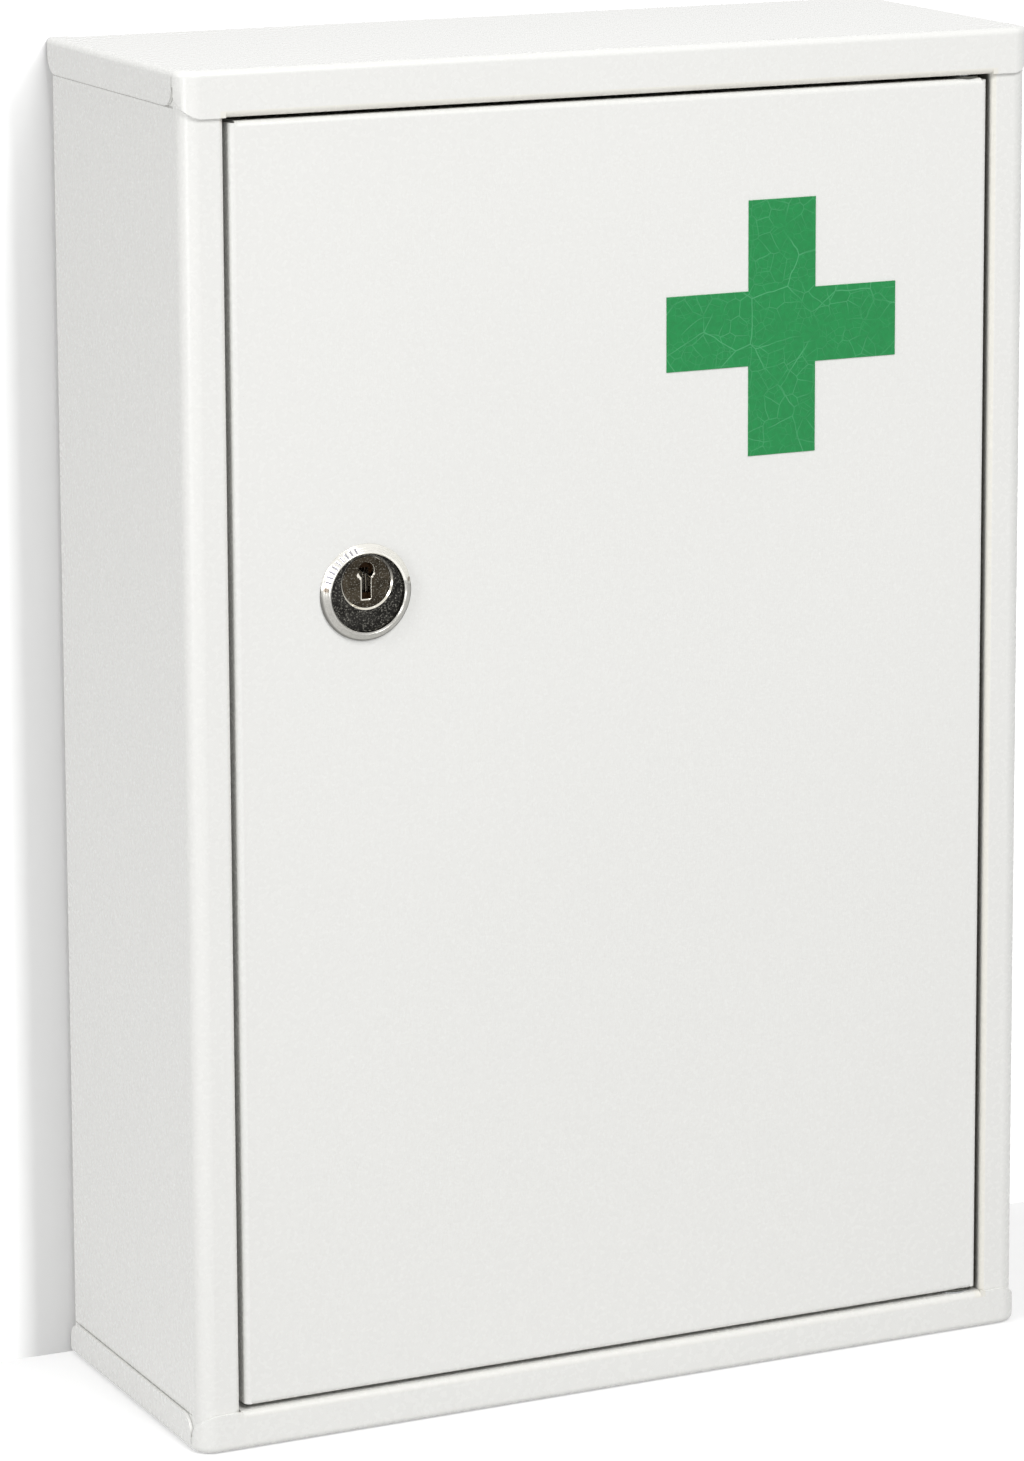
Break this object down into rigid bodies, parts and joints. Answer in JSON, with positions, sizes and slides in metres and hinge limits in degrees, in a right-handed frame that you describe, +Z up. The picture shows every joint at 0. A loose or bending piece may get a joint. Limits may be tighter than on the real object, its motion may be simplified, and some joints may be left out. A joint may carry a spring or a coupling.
{
  "type": "lockable medicine cabinet",
  "caption": "Small wall cabinet in folded white sheet steel, with an inset pin-hinged door, a cam lock, lift-out shelves and a plain green cross.",
  "frame": {"origin": "middle of the footprint, on the surface that the cabinet stands on", "axes": "+X towards the hinge side, +Y from the door towards the wall, +Z up"},
  "size_m": [0.238, 0.0914, 0.35],
  "materials": {
    "body_paint": "white powder coat, semi-gloss",
    "door_paint": "white powder coat, semi-gloss",
    "pin_steel": "bright turned steel",
    "buffer_rubber": "pale grey moulded rubber",
    "bush_nylon": "dark grey nylon",
    "cross_vinyl": "cut vinyl sheet, crazed with age",
    "collar_chrome": "bright nickel plate",
    "lock_face_chrome": "polished nickel plate",
    "plug_chrome": "polished nickel plate",
    "wafer_brass": "stamped brass",
    "zinc_steel": "bright zinc plate"
  },
  "bodies": {
    "cabinet": {"body_wrap": "body_paint", "top_cap": "body_paint", "bottom_pan": "body_paint", "upper_hinge_pin": "pin_steel", "lower_hinge_pin": "pin_steel", "thrust_washer": "pin_steel", "shelf_studs": "pin_steel", "door_buffers": "buffer_rubber"},
    "door": {"door_panel": "door_paint", "upper_hinge_bush": "bush_nylon", "lower_hinge_bush": "bush_nylon", "first_aid_cross": "cross_vinyl", "lock_collar": "collar_chrome", "lock_housing": "lock_face_chrome", "tooth_washer": "zinc_steel", "lock_nut": "zinc_steel"},
    "lock_core": {"lock_plug": "plug_chrome", "lock_wafers": "wafer_brass", "stop_washer": "zinc_steel", "lock_cam": "zinc_steel", "spring_washer": "zinc_steel", "cam_screw": "zinc_steel"},
    "upper_shelf": {"upper_shelf": "body_paint"},
    "lower_shelf": {"lower_shelf": "body_paint"}
  },
  "joints": [
    {"name": "door_hinge", "type": "hinge", "parent": "cabinet", "child": "door", "pos_m": [0.1008, -0.03885, 0.01], "axis": [0, 0, 1], "range_deg": [0, 110]},
    {"name": "lock_turn", "type": "hinge", "parent": "door", "child": "lock_core", "pos_m": [-0.071, -0.04335, 0.2204], "axis": [0, 1, 0], "range_deg": [0, 90]},
    {"name": "upper_shelf_lift", "type": "slide", "parent": "cabinet", "child": "upper_shelf", "axis": [0, 0, 1], "range_m": [0, 0.012]},
    {"name": "lower_shelf_lift", "type": "slide", "parent": "cabinet", "child": "lower_shelf", "axis": [0, 0, 1], "range_m": [0, 0.012]}
  ]
}
